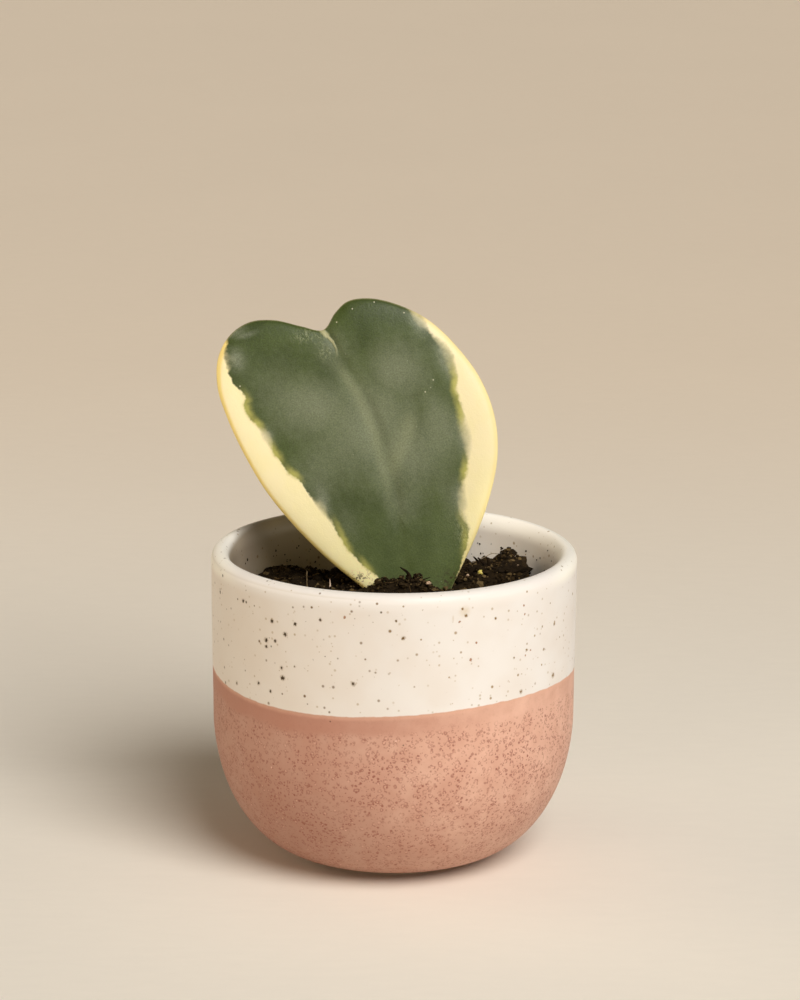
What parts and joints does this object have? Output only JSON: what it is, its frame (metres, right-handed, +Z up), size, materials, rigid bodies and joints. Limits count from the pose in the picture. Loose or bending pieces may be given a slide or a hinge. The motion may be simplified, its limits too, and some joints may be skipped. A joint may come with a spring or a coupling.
{
  "type": "potted hoya plant",
  "caption": "Variegated heart-shaped hoya leaf, rooted in peat in a small two-tone glazed ceramic cup that stands on a flat foot ring.",
  "frame": {"origin": "middle of the cup's foot, on the surface that the cup stands on", "axes": "+Z up; the leaf's green face looks towards -Y, and the leaf leans towards -X and a little towards +Y"},
  "size_m": [0.085, 0.085, 0.1289],
  "materials": {
    "glaze": "satin",
    "peat": "matte",
    "leaf": "satin",
    "bead": "satin",
    "grit": "matte",
    "bark": "matte",
    "fibre": "matte"
  },
  "bodies": {
    "root": {"pot": "glaze", "soil": "peat", "leaf": "leaf", "fertiliser_bead": "bead", "grit_grain_1": "grit", "grit_grain_2": "grit", "grit_grain_3": "grit", "grit_grain_4": "grit", "bark_splinter_left": "bark", "bark_splinter_middle": "bark", "root_fibre": "fibre"}
  },
  "joints": []
}
